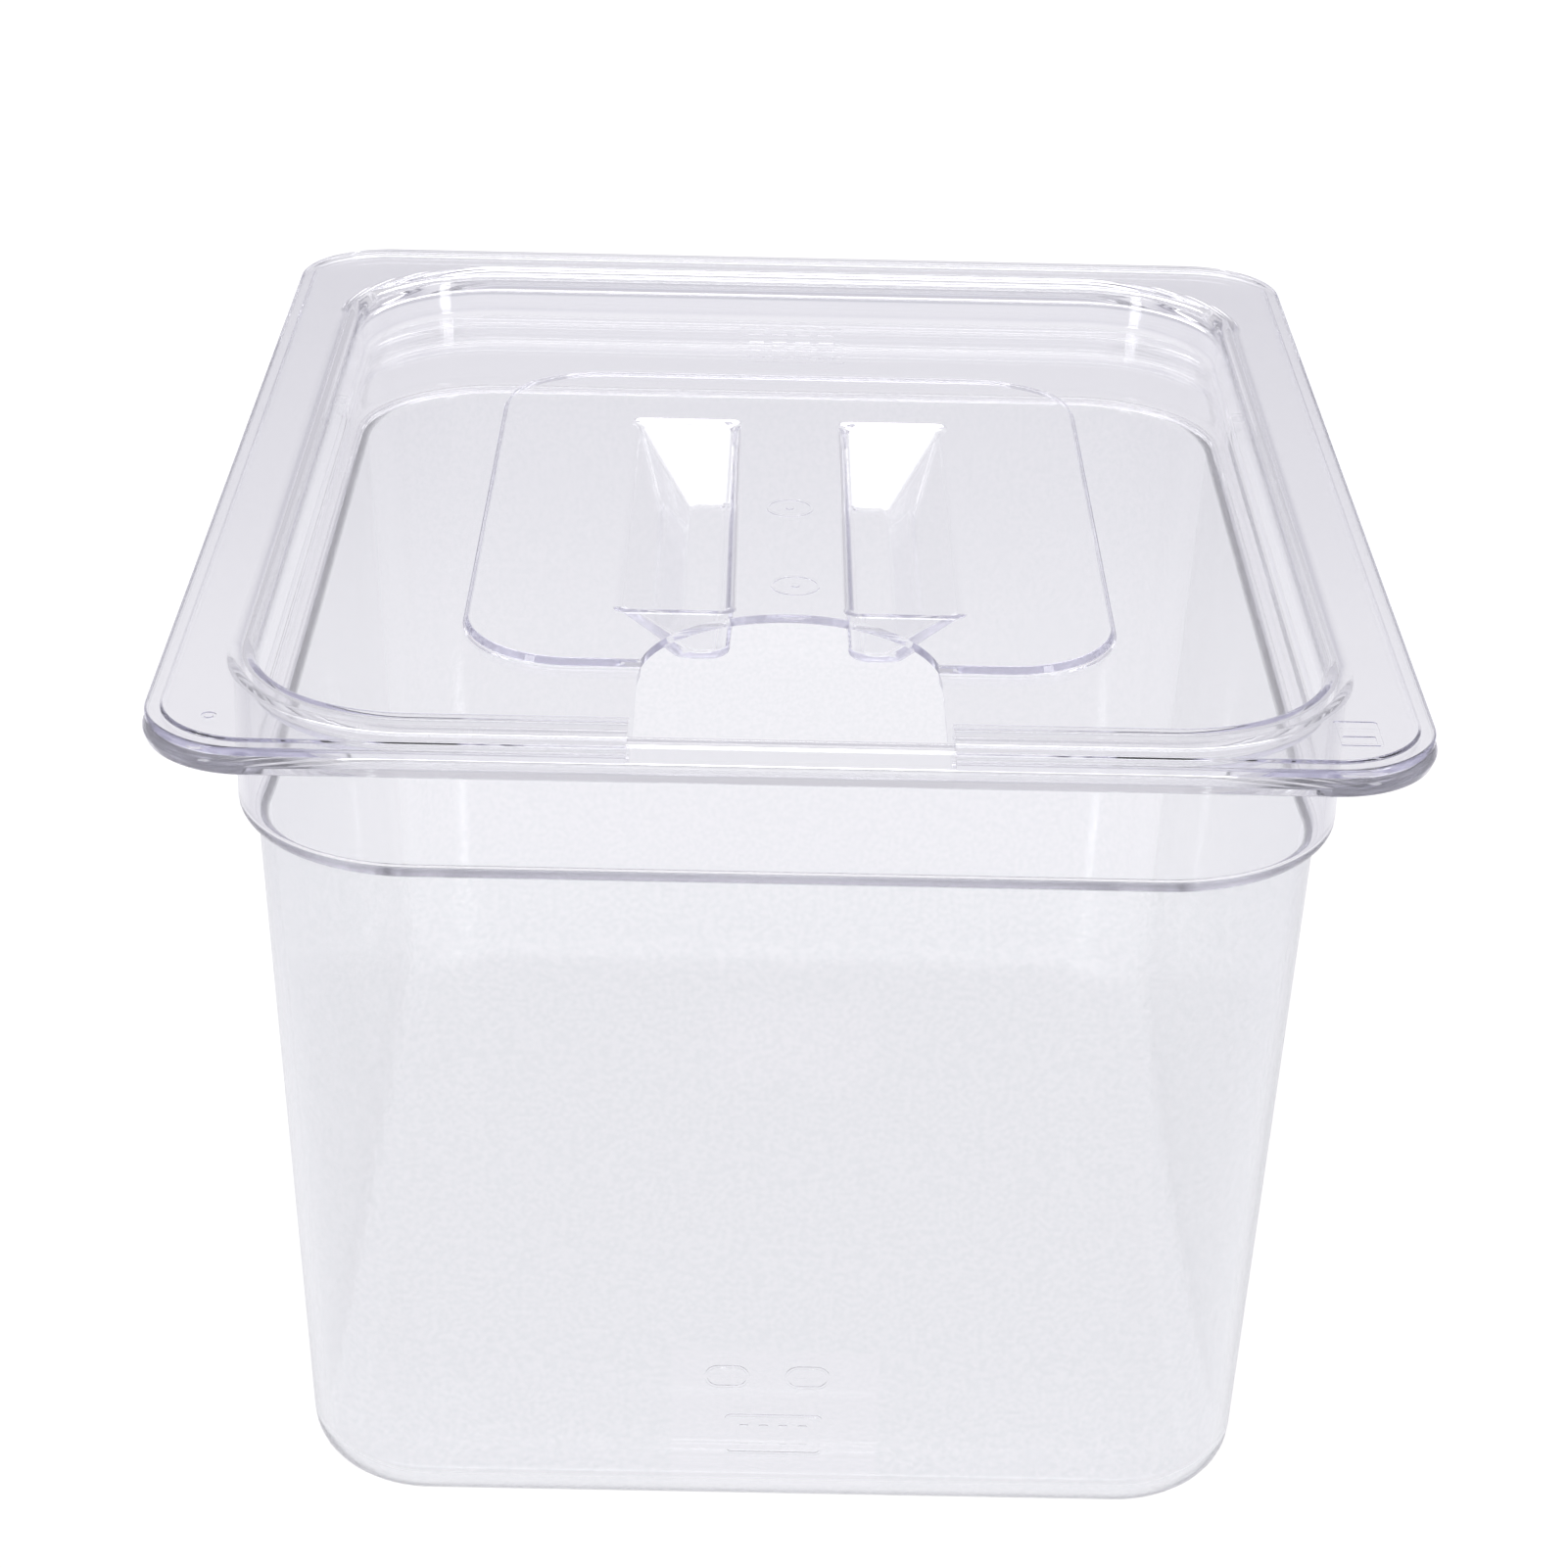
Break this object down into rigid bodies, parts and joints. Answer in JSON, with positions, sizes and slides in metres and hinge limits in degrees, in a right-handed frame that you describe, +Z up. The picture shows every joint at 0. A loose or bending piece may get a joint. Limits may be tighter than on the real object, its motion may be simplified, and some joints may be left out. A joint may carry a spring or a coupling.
{
  "type": "food pan with notched cover",
  "caption": "Deep half-size food pan in clear frosted plastic, with a lift-off cover that has a ladle notch and a moulded grip between finger wells.",
  "frame": {"origin": "centre of the pan's flat underside, on the surface that the pan stands on", "axes": "+Z up; +Y along the pan's length, towards the side without the notch; +X across its width"},
  "size_m": [0.265, 0.325, 0.2027],
  "materials": {
    "frosted_clear_plastic": "clear polycarbonate, fine frosted texture below the shoulder, polished band and rim above it",
    "polished_clear_plastic": "clear polycarbonate, polished on both sides"
  },
  "bodies": {
    "pan": {"pan": "frosted_clear_plastic"},
    "cover": {"cover": "polished_clear_plastic"}
  },
  "joints": [
    {"name": "cover_lift", "type": "slide", "parent": "pan", "child": "cover", "axis": [0, 0, 1], "range_m": [0, 0.25]}
  ]
}
